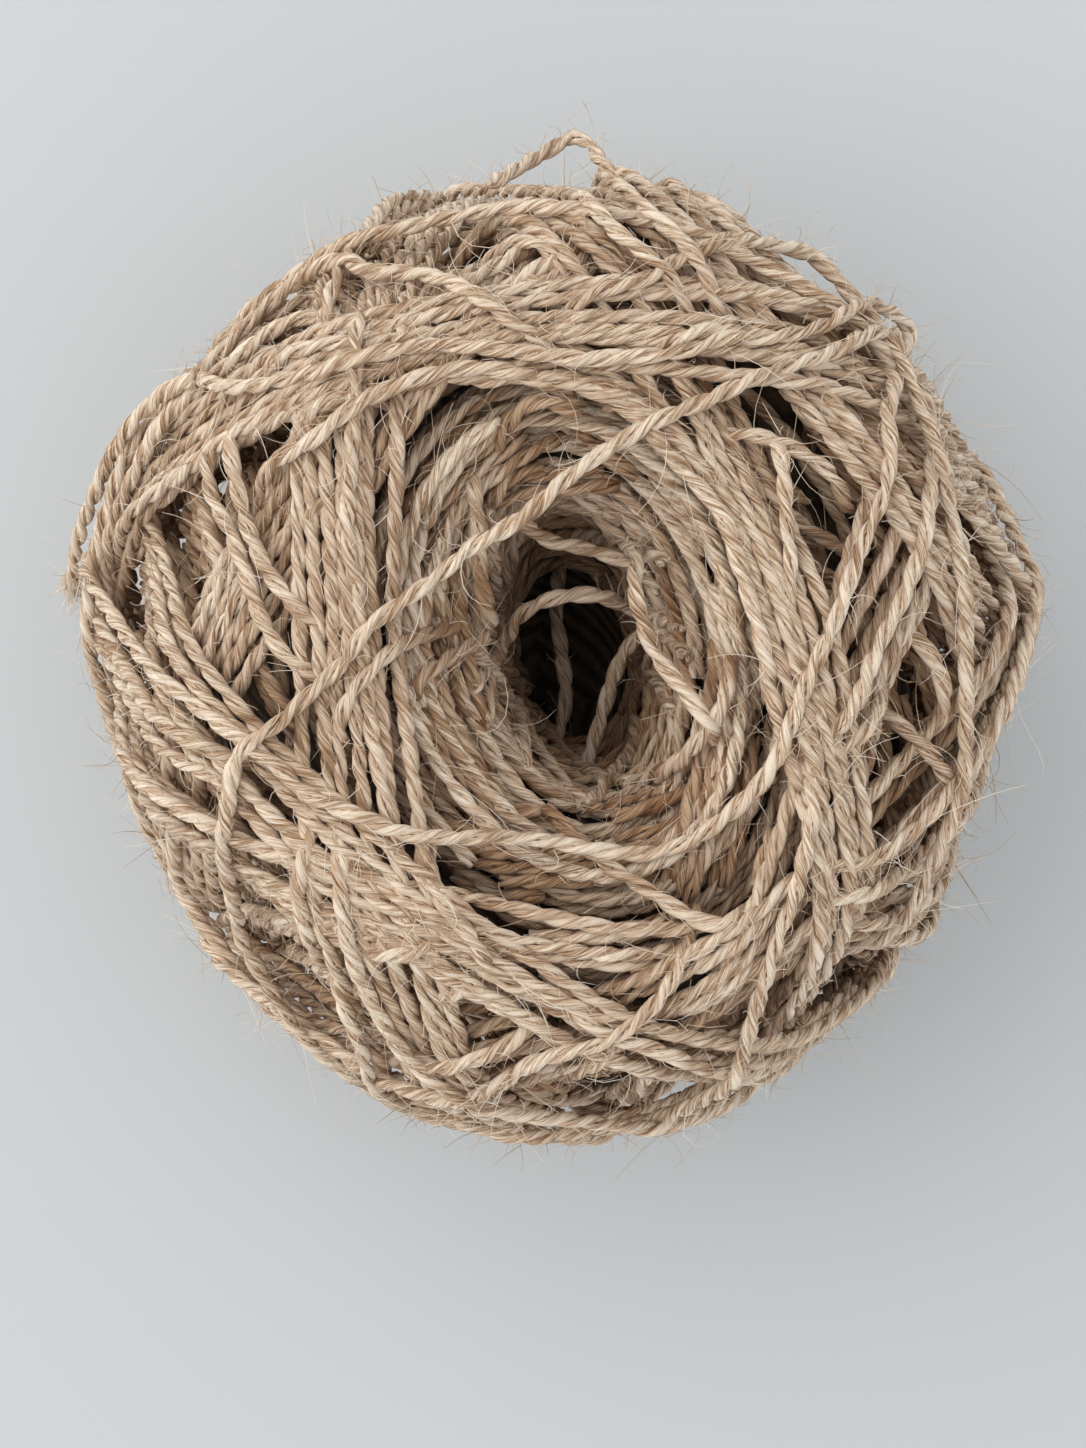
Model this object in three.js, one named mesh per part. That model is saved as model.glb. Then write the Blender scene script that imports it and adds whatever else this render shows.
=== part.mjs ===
// A ball of fingering yarn, wound around a thumb, so that a deep hollow opens in its upper side.
// Millimetres, +Z up. The origin is on the floor, under the middle of the ball.
import * as THREE from "three";

// The yarn.
const YARN_DIAMETER = 1.6;
const YARN_COLOUR = 0xc9ab88;

// The ball is pressed flat where it stands. The powers set how square its shoulders are.
const BALL_HEIGHT = 66;
const FLAT_SPOT_DEPTH = 0.8;
const UPPER_POWER = 2.35;
const LOWER_POWER = 2.3;

// How far the widest outline lies from the axis of the hollow, at even bearings from +X.
const OUTLINE_RADII = [
  43.8, 42.8, 44.4, 45.1, 47.0, 46.0, 46.9, 46.3, 46.2, 45.4, 44.6, 45.9, 47.6, 45.8, 43.2, 42.8,
];

// The hollow: ovals that lean the same way, from the crest of the ball down to its closed end.
const HOLLOW_LEAN_DEG = 12;
const HOLLOW = [
  { depth: 0, across: 18.0, along: 23.0 },
  { depth: 1.6, across: 13.2, along: 19.0 },
  { depth: 6, across: 10.0, along: 16.2 },
  { depth: 15, across: 7.8, along: 12.8 },
  { depth: 30, across: 6.4, along: 10.2 },
  { depth: 43, across: 5.0, along: 7.6 },
  { depth: 48, across: 2.6, along: 4.0 },
];
const HOLLOW_DEPTH = 49;

// Bundles of turns, lowest first. Each lies in a plane through the middle of the ball: on the upper side
// it runs at this heading and passes this far to the left of the hollow's axis.
const BUNDLES = [
  { heading_deg: 20, pass: 37, half_width: 5.5 },
  { heading_deg: 128, pass: 34, half_width: 5.5 },
  { heading_deg: 88, pass: -37, half_width: 5.5 },
  { heading_deg: 152, pass: -20, half_width: 5.0 },
  { heading_deg: -62, pass: -33, half_width: 5.5 },
  { heading_deg: 50, pass: 27, half_width: 5.5 },
  { heading_deg: 125, pass: -34, half_width: 5.0 },
  { heading_deg: 3, pass: -30, half_width: 5.0 },
  { heading_deg: 70, pass: -25, half_width: 4.5 },
  { heading_deg: -53, pass: 32, half_width: 4.5 },
  { heading_deg: 33, pass: -33, half_width: 4.5 },
  { heading_deg: 108, pass: -17, half_width: 4.0 },
  { heading_deg: 94, pass: 19, half_width: 4.5 },
  { heading_deg: -36, pass: -27, half_width: 4.0 },
  { heading_deg: 5, pass: 27, half_width: 4.0 },
];
const BUNDLE_RISE = 1.5;
const OVERLAP_LOSS = 0.4;
const COVER_EDGE = { full: 0.45, none: 1.15 };

// The bundles fade out into the hollow and towards the flat spot, between these heights.
const HOLLOW_FADE = { none: 54, full: 65 };
const FLAT_SPOT_FADE = { none: 0.3, full: 6 };

// The faces of the ball: columns around it, and rows along each stretch of its section.
const COLUMNS = 96;
const ROWS = { lower: 17, upper: 17, hollow: 15 };

// The loose end, from where it leaves the shoulder of the ball to its tip.
const LOOSE_END_ROUTE = [
  [-33.6, 24.6, 56.2],
  [-35.5, 24.1, 55.1],
  [-37.2, 23.2, 53.6],
  [-38.8, 22.1, 52.0],
  [-40.3, 20.8, 50.3],
  [-41.6, 19.2, 48.5],
  [-42.8, 17.6, 46.4],
  [-43.9, 15.9, 44.3],
  [-45.0, 14.1, 42.1],
  [-46.0, 12.4, 39.9],
  [-46.8, 10.8, 37.7],
  [-47.3, 9.5, 35.8],
  [-47.7, 8.4, 34.0],
  [-48.0, 7.5, 32.4],
  [-48.2, 6.8, 31.0],
];
const LOOSE_END_SIDES = 8;
const LOOSE_END_STEPS = 14;

const HALF_HEIGHT = (BALL_HEIGHT + FLAT_SPOT_DEPTH) / 2;
const MID_LEVEL = HALF_HEIGHT - FLAT_SPOT_DEPTH;
const FULL_TURN = 2 * Math.PI;
const { degToRad, smoothstep } = THREE.MathUtils;

// The outline's radius: a smooth closed curve through the table.
function outlineRadius(bearing) {
  const count = OUTLINE_RADII.length;
  const place = (bearing / FULL_TURN) * count;
  const first = Math.floor(place);
  const part = place - first;
  const [before, from, to, after] = [-1, 0, 1, 2].map((k) => OUTLINE_RADII[(first + k + count) % count]);
  const bend = part * (3 * (from - to) + after - before);
  return from + 0.5 * part * (to - before + part * (2 * before - 5 * from + 4 * to - after + bend));
}

// The radius of an oval of the hollow. Its long axis leans from +Y towards -X.
function ovalRadius(oval, bearing) {
  const turned = bearing - degToRad(HOLLOW_LEAN_DEG);
  return (oval.across * oval.along) / Math.hypot(oval.along * Math.cos(turned), oval.across * Math.sin(turned));
}

// The rows of the section, from the flat spot out to the outline, up to the crest and down the hollow.
// Each gives a radius at a bearing, and a height.
function sectionRows() {
  const rows = [];
  for (let i = 1; i <= ROWS.lower; i++) {
    const angle = (i / ROWS.lower) * (Math.PI / 2);
    const reach = Math.sin(angle) ** (2 / LOWER_POWER);
    const drop = Math.cos(angle) ** (2 / LOWER_POWER);
    rows.push({
      radius: (bearing) => outlineRadius(bearing) * reach,
      height: MID_LEVEL - HALF_HEIGHT * drop,
    });
  }
  for (let i = 1; i <= ROWS.upper; i++) {
    const angle = (i / ROWS.upper) * (Math.PI / 2);
    const reach = Math.cos(angle) ** (2 / UPPER_POWER);
    const rise = Math.sin(angle) ** (2 / UPPER_POWER);
    rows.push({
      radius: (bearing) => THREE.MathUtils.lerp(ovalRadius(HOLLOW[0], bearing), outlineRadius(bearing), reach),
      height: MID_LEVEL + HALF_HEIGHT * rise,
    });
  }
  const hollow = new THREE.CatmullRomCurve3(HOLLOW.map((o) => new THREE.Vector3(o.across, o.along, o.depth)));
  for (let i = 1; i <= ROWS.hollow; i++) {
    const oval = hollow.getPointAt(i / ROWS.hollow);
    rows.push({
      radius: (bearing) => ovalRadius({ across: oval.x, along: oval.y }, bearing),
      height: BALL_HEIGHT - oval.z,
    });
  }
  return rows;
}

// How far the bundles raise the surface at a point. Each lies over those before it.
function bundleRelief(point) {
  const place = point.clone().sub(new THREE.Vector3(0, 0, MID_LEVEL));
  let relief = 0;
  for (const bundle of BUNDLES) {
    const heading = degToRad(bundle.heading_deg);
    const across = new THREE.Vector3(-Math.sin(heading) * HALF_HEIGHT, Math.cos(heading) * HALF_HEIGHT, -bundle.pass);
    const away = Math.abs(place.dot(across.normalize())) / bundle.half_width;
    const cover = 1 - smoothstep(away, COVER_EDGE.full, COVER_EDGE.none);
    relief += cover * (BUNDLE_RISE - OVERLAP_LOSS * relief);
  }
  return relief - BUNDLE_RISE;
}

// A closed skin over the rows: the first vertex is under the flat spot, the last at the hollow's end.
function skinOver(rows) {
  const points = [new THREE.Vector3(0, 0, -FLAT_SPOT_DEPTH)];
  for (const row of rows) {
    for (let i = 0; i < COLUMNS; i++) {
      const bearing = (i / COLUMNS) * FULL_TURN;
      const radius = row.radius(bearing);
      points.push(new THREE.Vector3(radius * Math.cos(bearing), radius * Math.sin(bearing), row.height));
    }
  }
  points.push(new THREE.Vector3(0, 0, BALL_HEIGHT - HOLLOW_DEPTH));
  const end = points.length - 1;
  const faces = [];
  for (let i = 0; i < COLUMNS; i++) {
    const next = (i + 1) % COLUMNS;
    faces.push(0, 1 + next, 1 + i);
    for (let k = 0; k < rows.length - 1; k++) {
      const [low, high] = [1 + k * COLUMNS, 1 + (k + 1) * COLUMNS];
      faces.push(low + i, low + next, high + next, low + i, high + next, high + i);
    }
    faces.push(end, end - COLUMNS + i, end - COLUMNS + next);
  }
  const geometry = new THREE.BufferGeometry().setFromPoints(points).setIndex(faces);
  geometry.computeVertexNormals();
  return geometry;
}

// The wound ball: the skin, raised by its bundles, pressed flat where it stands and set over the origin.
function woundBall() {
  const geometry = skinOver(sectionRows());
  const position = geometry.getAttribute("position");
  const normal = geometry.getAttribute("normal");
  for (let i = 0; i < position.count; i++) {
    const point = new THREE.Vector3().fromBufferAttribute(position, i);
    const outward = new THREE.Vector3().fromBufferAttribute(normal, i);
    const inHollow = point.dot(outward.clone().setZ(0)) < 0;
    const upper = inHollow ? smoothstep(point.z, HOLLOW_FADE.none, HOLLOW_FADE.full) : 1;
    const lower = smoothstep(point.z, FLAT_SPOT_FADE.none, FLAT_SPOT_FADE.full);
    point.addScaledVector(outward, bundleRelief(point) * upper * lower);
    position.setXYZ(i, point.x, point.y, Math.max(point.z, 0));
  }
  geometry.computeBoundingBox();
  const middle = geometry.boundingBox.getCenter(new THREE.Vector3());
  geometry.translate(-middle.x, -middle.y, 0);
  geometry.computeVertexNormals();
  return geometry;
}

// The loose end: one round tube along its route.
function looseEnd() {
  const route = new THREE.CatmullRomCurve3(LOOSE_END_ROUTE.map((p) => new THREE.Vector3(...p)));
  const section = new THREE.Shape();
  for (let i = 0; i < LOOSE_END_SIDES; i++) {
    const turn = (i / LOOSE_END_SIDES) * FULL_TURN;
    const [x, y] = [Math.cos(turn), Math.sin(turn)].map((v) => (v * YARN_DIAMETER) / 2);
    if (i === 0) section.moveTo(x, y);
    else section.lineTo(x, y);
  }
  return new THREE.ExtrudeGeometry(section, { steps: LOOSE_END_STEPS, extrudePath: route, curveSegments: 1 });
}

function yarnPiece(name, geometry) {
  const finish = new THREE.MeshStandardMaterial({ color: YARN_COLOUR, roughness: 0.9, metalness: 0 });
  const mesh = new THREE.Mesh(geometry, finish);
  mesh.name = name;
  return mesh;
}

const ball = new THREE.Group();
ball.add(yarnPiece("wound_ball", woundBall()));
ball.add(yarnPiece("loose_end", looseEnd()));

export default ball;
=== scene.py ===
import math

import bpy
import numpy as np
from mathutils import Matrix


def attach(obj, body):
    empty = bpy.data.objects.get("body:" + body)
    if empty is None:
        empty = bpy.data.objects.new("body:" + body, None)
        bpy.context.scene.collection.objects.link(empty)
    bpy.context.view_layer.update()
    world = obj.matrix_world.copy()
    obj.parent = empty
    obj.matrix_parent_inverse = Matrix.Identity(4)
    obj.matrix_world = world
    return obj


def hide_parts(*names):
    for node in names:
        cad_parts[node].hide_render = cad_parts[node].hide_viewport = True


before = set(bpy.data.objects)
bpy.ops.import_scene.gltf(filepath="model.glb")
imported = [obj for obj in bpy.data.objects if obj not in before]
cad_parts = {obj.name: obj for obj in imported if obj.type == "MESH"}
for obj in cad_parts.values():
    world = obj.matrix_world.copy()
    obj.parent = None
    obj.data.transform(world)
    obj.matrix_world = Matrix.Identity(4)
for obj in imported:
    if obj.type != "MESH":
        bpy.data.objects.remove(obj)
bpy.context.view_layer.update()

# A hand-wound ball of two-ply fingering yarn, seen from above, with a deep hollow and one loose end.
# Lengths are in millimetres in the row frame until a mesh is made, in metres.
MM = 0.001
FULL_TURN = 2 * math.pi
SEED = 20
chance = np.random.default_rng(SEED)

# The yarn: two plies laid around each other with an S twist. Each ply is an oval, given as half its
# thickness and half its width, and its middle lies this far from the middle of the yarn.
PLY_HALF_THICKNESS = 0.40
PLY_HALF_WIDTH = 0.55
PLY_OFFSET = 0.37
TWIST_PITCH = 6.4
CLOSED_END = 0.6
# How the twist and the fullness vary along the yarn: how much, over what length, and in what step.
TWIST_WAVES = ((0.9, 13, 1), (0.35, 5.3, 3))
FULLNESS_WAVES = ((0.08, 7.3, 1), (0.07, 2.9, 2))
PLY_WAVE = (0.08, 1.9, 5)
# Each strand and each ply reads its fibres from a place of its own.
STRAND_SHIFTS = 900
PLY_SHIFT = 3.1

# The form of the ball, as in the part's source. Its middle is on the hollow's axis.
CENTRE = np.array([1.19, 0.33, 32.6])
HALF_HEIGHT = 33.4
CREST_HEIGHT = CENTRE[2] + HALF_HEIGHT
UPPER_POWER = 2.35
LOWER_POWER = 2.3
OUTLINE_RADII = np.array(
    [43.8, 42.8, 44.4, 45.1, 47.0, 46.0, 46.9, 46.3, 46.2, 45.4, 44.6, 45.9, 47.6, 45.8, 43.2, 42.8]
)
MEAN_RADIUS = 41.0
FORM_LIMITS = (20.0, 62.0)

# The hollow: ovals that lean the same way, from the crest down. The second is its rim.
HOLLOW_LEAN = math.radians(12)
HOLLOW_DEPTH = np.array([0, 1.6, 6, 15, 30, 43, 48])
HOLLOW_ACROSS = np.array([18.0, 13.2, 10.0, 7.8, 6.4, 5.0, 2.6])
HOLLOW_ALONG = np.array([23.0, 19.0, 16.2, 12.8, 10.2, 7.6, 4.0])
CREST_OVAL = (HOLLOW_ACROSS[0], HOLLOW_ALONG[0])
RIM_OVAL = (HOLLOW_ACROSS[1], HOLLOW_ALONG[1])
RIM_DROP = HOLLOW_DEPTH[1]
RIM_MARGIN = 0.6

# The route of the loose end, as in the part's source, and its length in metres.
LOOSE_END_ROUTE = np.array([
    [-33.6, 24.6, 56.2], [-35.5, 24.1, 55.1], [-37.2, 23.2, 53.6], [-38.8, 22.1, 52.0],
    [-40.3, 20.8, 50.3], [-41.6, 19.2, 48.5], [-42.8, 17.6, 46.4], [-43.9, 15.9, 44.3],
    [-45.0, 14.1, 42.1], [-46.0, 12.4, 39.9], [-46.8, 10.8, 37.7], [-47.3, 9.5, 35.8],
    [-47.7, 8.4, 34.0], [-48.0, 7.5, 32.4], [-48.2, 6.8, 31.0],
])

# The camera stands over the ball and looks straight down. Its picture is 1086 by 1448 pixels.
CAMERA_PLACE = np.array([-1.84, -6.8, 365.0])
CAMERA_LENS = 84.2
SENSOR = 36.0
FRAME_MIDDLE = np.array([543.0, 724.0])
PIXEL_AT_1_MM = SENSOR / CAMERA_LENS / (2 * FRAME_MIDDLE[1])

# How the turns are laid: the step along a turn, how close the middles of two turns may come, and how
# far apart they lie side by side. A turn is lifted to the chords over spans of so many steps.
LAY_STEP = 1.0
CONTACT_DISTANCE = 1.3
TURN_PITCH = 1.62
TAUT_SPANS = (9, 7, 5, 4, 3, 2, 1)
LONG_TAUT_SPANS = (48, 32, 24, 16, 12)
TAUT_ROUNDS = 3

# The bed that the lowest turns rest on, as depths below the form at even ways. It settles until this
# percentile of the turns over a place is at the level wanted at the top, plus more at the sides.
BED_PLACES = 500
BED_START = 8.5
BED_DEPTHS = (4.0, 13.0)
BED_SHARPNESS = 90.0
BED_REACH = math.cos(0.085)
TOP_PERCENT = 90
TOP_LEVEL = -1.5
SIDE_LEVEL = -1.1
SETTLINGS = 2

# What stands higher above the form than this is pressed in, and a share of it stays.
HIGHEST_FREE = 0.4
PRESSED_SHARE = 0.5
LAST_SHARE = 0.85
FLOOR_CLEARANCE = 0.9

# How wide the turns of each layer keep round the hollow's mouth, as shares of its rim.
MOUTH_SPREAD = {"under": 0.80, "middle": 0.90, "outer": 1.02}
MOUTH_POWER = 5

# How turns of one bundle differ: in heading, in how far they pass the axis above and below, and in
# how they wander.
HEADING_SCATTER = 1.1
OVER_SCATTER = 0.3
UNDER_SCATTER = 1.6
UNDER_SPREAD = 1.15
WANDER = 0.55

# The outer bundles of turns, lowest first: the heading on the upper side, how far to the left of the
# hollow's axis the bundle passes there, and how many turns lie side by side.
OUTER_BUNDLES = [
    (20, 37, 7), (128, 34, 8), (88, -37, 7), (152, -20, 7), (-62, -33, 7), (50, 27, 7), (125, -34, 7),
    (3, -30, 8), (-11, -27, 6), (70, -25, 6), (-53, 32, 6), (33, -33, 7), (108, -17, 6), (94, 19, 7),
    (-36, -27, 6), (5, 27, 6),
]
OUTER_UNDERSIDES = range(-33, 34, 6)

# The middle bundles lie below them: how many beside the hollow's mouth, and how many anywhere.
MIDDLE_BUNDLES = (5, 4)
MIDDLE_TURNS = 5
MIDDLE_CHOICES = 8
MIDDLE_UNDERSIDES = (-36, 36)
BESIDE_MOUTH = 0.4
CLEAR_OF_MOUTH = 5
WIDEST_PASS = 40.0

# The inner layer is lowest: two even sets of turns that cross.
INNER_HEADINGS = (102, 12)
INNER_PITCH = 1.75
INNER_SCATTER = 0.6

# What counts as well covered, and how much thin cover counts, when a bundle's place is chosen.
WELL_COVERED = 4.5
THIN_WEIGHT = 1.5
TRIAL_SHIFTS = (-2.8, 2.8)
TRIAL_STEP = 5

# The last turns, lowest first, by the pixels that they pass in the photograph's frame. An end dives
# between the turns below it, and where it says so it runs on down the side of the ball first.
RUN_ON = "run on"
LAST_TURNS = [
    [(335, 928), (372, 941), (422, 938), (475, 935)],
    [(415, 1001), (455, 988), (494, 961)],
    [(388, 1054), (455, 1051), (504, 1038), (554, 1014)],
    [(540, 971), (595, 1011), (660, 1036), (722, 1062), RUN_ON],
    [(540, 1102), (595, 1058), (640, 1035)],
    [(838, 924), (889, 924), (940, 905), RUN_ON],
    [(678, 818), (696, 764), (722, 709), (736, 655)],
    [(696, 429), (761, 442), (817, 468), (865, 504)],
    [(885, 462), (924, 478), (963, 504), (1012, 556), RUN_ON],
    [(277, 549), (315, 514), (356, 480)],
    [(290, 570), (321, 546), (356, 520)],
    [(240, 380), (284, 367), (359, 355), (420, 330)],
    [RUN_ON, (224, 367), (277, 330), (359, 314)],
    [(368, 289), (368, 349), (368, 402), (365, 443), (359, 505), (359, 568), (362, 620)],
    [(456, 421), (459, 458), (468, 505), (465, 568), (459, 620)],
    [(209, 411), (212, 458), (215, 499), (231, 530), (246, 567), (265, 620), (295, 660), (340, 690)],
    [(224, 411), (237, 458), (249, 524), (268, 567), (302, 608), (340, 650)],
    [(434, 224), (481, 211), (527, 221), (580, 246)],
    [(443, 246), (496, 236), (543, 249), (580, 280)],
    [(506, 255), (537, 289), (571, 317)],
    [
        RUN_ON, (895, 374), (921, 406), (924, 449), (917, 504), (904, 563), (893, 600), (867, 651),
        (849, 695), (824, 738), (809, 764),
    ],
    [(925, 669), (889, 702), (856, 735), (816, 771)],
    [(915, 611), (936, 651), (951, 702), (965, 745)],
    [(907, 702), (933, 753), (955, 800), (962, 825)],
    [(802, 869), (867, 851), (911, 822), (936, 796), RUN_ON],
    [(791, 902), (849, 887), (915, 873), (962, 847), RUN_ON],
    [
        (787, 738), (802, 782), (795, 833), (787, 884), (773, 920), (758, 971), (744, 1018), (729, 1058),
        (711, 1087), (685, 1120), (649, 1145), (613, 1153), RUN_ON,
    ],
    [
        (704, 920), (678, 956), (649, 989), (605, 1018), (540, 1047), (504, 1071), (455, 1087),
        (398, 1077), RUN_ON,
    ],
    [(322, 792), (319, 839), (312, 878), (315, 922), (319, 961), (322, 1004)],
    [(322, 945), (342, 985), (362, 1028), (378, 1071), RUN_ON],
    [(342, 805), (352, 862), (359, 922), (365, 951), (382, 994), (408, 1034), (441, 1061), RUN_ON],
    [(422, 835), (441, 878), (475, 915), (504, 961), (538, 981), (580, 1001)],
    [RUN_ON, (125, 712), (160, 742), (212, 770), (250, 797)],
    [RUN_ON, (136, 693), (173, 719), (223, 746), (262, 776)],
    [(660, 504), (651, 537), (641, 585), (656, 647), (685, 691), (711, 727), (744, 764)],
    [
        (605, 393), (631, 429), (651, 462), (680, 494), (709, 527), (725, 576), (745, 640), (765, 684),
        (776, 705),
    ],
    [(751, 407), (768, 439), (774, 488), (777, 537), (781, 585), (784, 640)],
    [(540, 836), (595, 862), (649, 895), (704, 916), (765, 909)],
    [(474, 474), (506, 442), (537, 424)],
    [(465, 417), (527, 405), (580, 411)],
    [(277, 452), (309, 430), (349, 411), (402, 402)],
    [(240, 499), (277, 471), (324, 455), (371, 424), (418, 399), (465, 386), (527, 389), (580, 396)],
    [
        RUN_ON, (196, 361), (224, 330), (262, 296), (309, 274), (349, 267), (371, 277), (418, 280),
        (449, 292), (487, 317), (521, 342), (580, 367),
    ],
    [
        (540, 325), (589, 309), (638, 299), (677, 276), (719, 263), (761, 257), (800, 260), (817, 270),
        (843, 299), RUN_ON,
    ],
    [RUN_ON, (540, 159), (560, 172), (582, 208), (605, 241), (638, 273), (670, 299), (703, 332)],
    [(599, 156), (605, 172), (631, 208), (647, 234), (677, 267), (732, 338)],
    [(621, 364), (670, 354), (722, 341), (768, 338)],
    [
        RUN_ON, (110, 610), (150, 656), (189, 689), (223, 713), (256, 733), (296, 762), (322, 786),
        (372, 805), (422, 825), (488, 829), (540, 829), (595, 844), (649, 858), (696, 847), (729, 818),
        (758, 775), (776, 720), (795, 673), (824, 618), (852, 546), (869, 504), (878, 455), (875, 423),
        (885, 390), (885, 358),
    ],
    [(425, 620), (388, 660), (355, 703), (342, 736), (335, 766)],
    [(458, 630), (422, 673), (398, 706)],
]
DEEPEST_LAST = 5.0
DIVE_DEPTH = 4.5
DIVE_LENGTH = 7.0
RUN_ON_LENGTH = 66.0

# The turn that ends in the loose end, from there over the ball, and the one that crosses the hollow.
LOOSE_TURN = [
    (195, 380), (240, 393), (309, 389), (371, 380), (434, 364), (496, 367), (580, 380), (605, 377),
    (670, 371), (719, 354), (768, 351), (817, 338), (849, 318), (868, 305),
]
TOP_TURN = [
    (901, 351), (865, 345), (817, 367), (751, 390), (703, 413), (647, 442), (605, 472), (566, 498),
    (527, 533), (481, 558), (459, 577), (422, 603), (378, 630), (355, 663), (322, 693), (296, 719),
    (266, 742), (252, 766), (243, 812), (233, 862), (233, 912), (236, 945), (256, 978),
]

# Turns that stand free of the ball, and turns that hang free inside the hollow: the pixels that they
# pass, and how high they are there.
FREE_KINKS = [
    [
        (835, 326, 58.4), (850, 315, 57.0), (866, 303, 54.4), (884, 309, 52.4), (900, 318, 50.4),
        (910, 333, 49.0), (903, 350, 52.0), (884, 350, 55.2), (866, 346, 57.2),
    ],
    [
        (490, 184, 51.6), (510, 173, 48.8), (530, 161, 46.2), (548, 151, 44.8), (563, 142, 44.2),
        (576, 137, 44.6), (588, 144, 46.0), (597, 155, 48.0), (604, 168, 49.8), (613, 182, 51.4),
    ],
]
HOLLOW_STRAYS = [
    [(492, 668, 44), (505, 640, 47), (525, 612, 50), (560, 597, 51), (600, 596, 50), (640, 612, 46)],
    [(650, 622, 46), (625, 652, 44), (612, 682, 42), (600, 722, 40), (588, 762, 39), (580, 806, 40)],
    [(560, 562, 25), (556, 610, 29), (562, 655, 31), (566, 700, 31), (556, 740, 32), (540, 775, 36)],
    [(520, 520, 55), (548, 540, 53), (590, 550, 52), (632, 566, 53), (660, 592, 55)],
]
# How much painted shade the free turns inside the hollow get.
STRAY_SHADE = 0.3

# Rows of turns round the hollow behind its wall: how deep each lies, and how far out.
MOUTH_ROWS = [(depth, 2.6) for depth in np.arange(2.5, 11, 1.5)]
MOUTH_ROWS += [(depth, out) for depth in (4.0, 5.6, 7.2) for out in (4.3, 6.0)]
MOUTH_ROWS += [(5.2 + 0.12 * out, out) for out in np.arange(7.6, 16.0, 1.65)]
# Rows this far out lie behind the wall, and they get this much more painted shade.
HIDDEN_ROW = 5.0
HIDDEN_SHADE = 0.5

# The rows on the wall itself: the first and last depth, and the pitch above and below a change.
WALL_DEPTHS = (8.0, 40.0)
WALL_OUT = 0.75
WALL_PITCHES = (1.5, 2.6)
PITCH_CHANGE = 13
PITCH_SCATTER = 0.15
# Turns that run down the wall.
HANGING_TURNS = 18
HANGING_OUT = 0.1
# The depth where painted shade starts on the wall and its hanging turns, and over how much it grows to
# full.
WALL_SHADE = (5, 18)
HANGING_SHADE = (8, 20)

# The core under all the turns, and how far outside the hollow's wall it lies at each depth.
CORE_DROP = 1.0
CORE_COLUMNS = 96
CORE_LATITUDES = (-86, 56)
CORE_RINGS = 40
CORE_HOLLOW = ((9.5, 5.5), (10.5, 3.6), (13, 2.4), (18, 1.5), (30, 1.2), (43, 1.2), (48, 1.0))

# A sample of a turn is hidden where higher ones cover it at its middle and at places around it.
COVER_REACH = 2.2
COVER_RISE = 1.0
COVER_WIDTH = 0.95
PROBE_RADIUS = 0.85
PROBES = 6
ASIDE = (0.3, 0.5, 0.81)
SHORTEST_STRETCH = 5
# Yarn that lies this far below its neighbours gets full painted shade.
FULL_SHADE_DEPTH = 4.5

# How finely yarn is made: the step along it, and the sides of a ply.
FINE = (0.8, 6)
PLAIN = (1.12, 5)
COARSE = (1.35, 5)
DETAILS = {"under": COARSE, "middle": COARSE, "outer": PLAIN, "last": FINE, "loose": FINE}
LOOSE_END_DETAIL = (0.6, 8)
MOST_TRIANGLES = 185000

# Hairs: how many, the longest, their mean length, their radius, how curly, and their rings.
HAIRS = {
    "short_hairs": (6500, 4.0, 2.0, 0.042, 0.45, 5),
    "long_hairs": (4000, 9.0, 4.2, 0.045, 0.65, 6),
}
HAIR_ROOT = 0.72
HAIR_TIP = 0.45
HAIR_SPREAD = 2.4
HAIR_CLEARANCE = 0.2
SHORTEST_HAIR = 0.5
LOW_HEIGHT = 20
LOW_SHARE = 0.4
SHADED_SHARE = 1.15
# The tuft at the tip of the loose end: its fibres, how far they lie and fan apart, and their sizes.
TUFT_FIBRES = 230
TUFT_SPREAD = 0.34
TUFT_FAN = 0.28
TUFT_LENGTHS = (1.4, 4.2)
TUFT_RADII = (0.03, 0.055)
TUFT_START = 1.4
TUFT_CURL = 0.14
TUFT_RINGS = 5

# Colours.
PALE_FIBRE = (0.92, 0.775, 0.61)
CREAM_FIBRE = (0.68, 0.50, 0.35)
TAN_FIBRE = (0.42, 0.26, 0.145)
BROWN_FIBRE = (0.20, 0.10, 0.045)
# Painted shade: the yarn's colour is multiplied towards this where its turns lie deep between others.
SHADED_YARN = (0.56, 0.435, 0.33)
# Painted shade: the core under all the turns is coloured as yarn in deep shade, not in the yarn's own
# colour.
CORE_SHADE_DARK = (0.05, 0.032, 0.02)
CORE_SHADE_LIGHT = (0.14, 0.092, 0.056)
GOLDEN_HAIR = (0.55, 0.38, 0.23)
CREAM_HAIR = (0.80, 0.63, 0.46)
PALE_HAIR = (0.93, 0.82, 0.68)

# The floor and the light.
FLOOR_COLOUR = (0.585, 0.597, 0.597)
FLOOR_HALF_SIDE = 900.0
FLOOR_THICKNESS = 4.0
WINDOW_PLACE = (-560, 220, 540)
WINDOW_SIZE = 1100
WINDOW_POWER = 3.9
WINDOW_COLOUR = (1.0, 0.985, 0.96)
SKY_COLOUR = (0.93, 0.965, 1.0, 1)
SKY_STRENGTH = 0.93


# Lines and curves


def smooth_line(points, per_span=12):
    """A fine polyline along the smooth curve through the points."""
    points = np.asarray(points, float)
    line = np.vstack([2 * points[0] - points[1], points, 2 * points[-1] - points[-2]])
    t = np.linspace(0, 1, per_span, endpoint=False)[:, None]
    spans = []
    for a, b, c, d in zip(line[:-3], line[1:-2], line[2:-1], line[3:]):
        bend = (2 * a - 5 * b + 4 * c - d) * t**2 + (3 * b - a - 3 * c + d) * t**3
        spans.append(b + 0.5 * ((c - a) * t + bend))
    return np.vstack(spans + [points[-1:]])


def lengths_along(points):
    """How far along the line each of its points lies."""
    return np.concatenate([[0], np.cumsum(np.linalg.norm(np.diff(points, axis=0), axis=1))])


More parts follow.
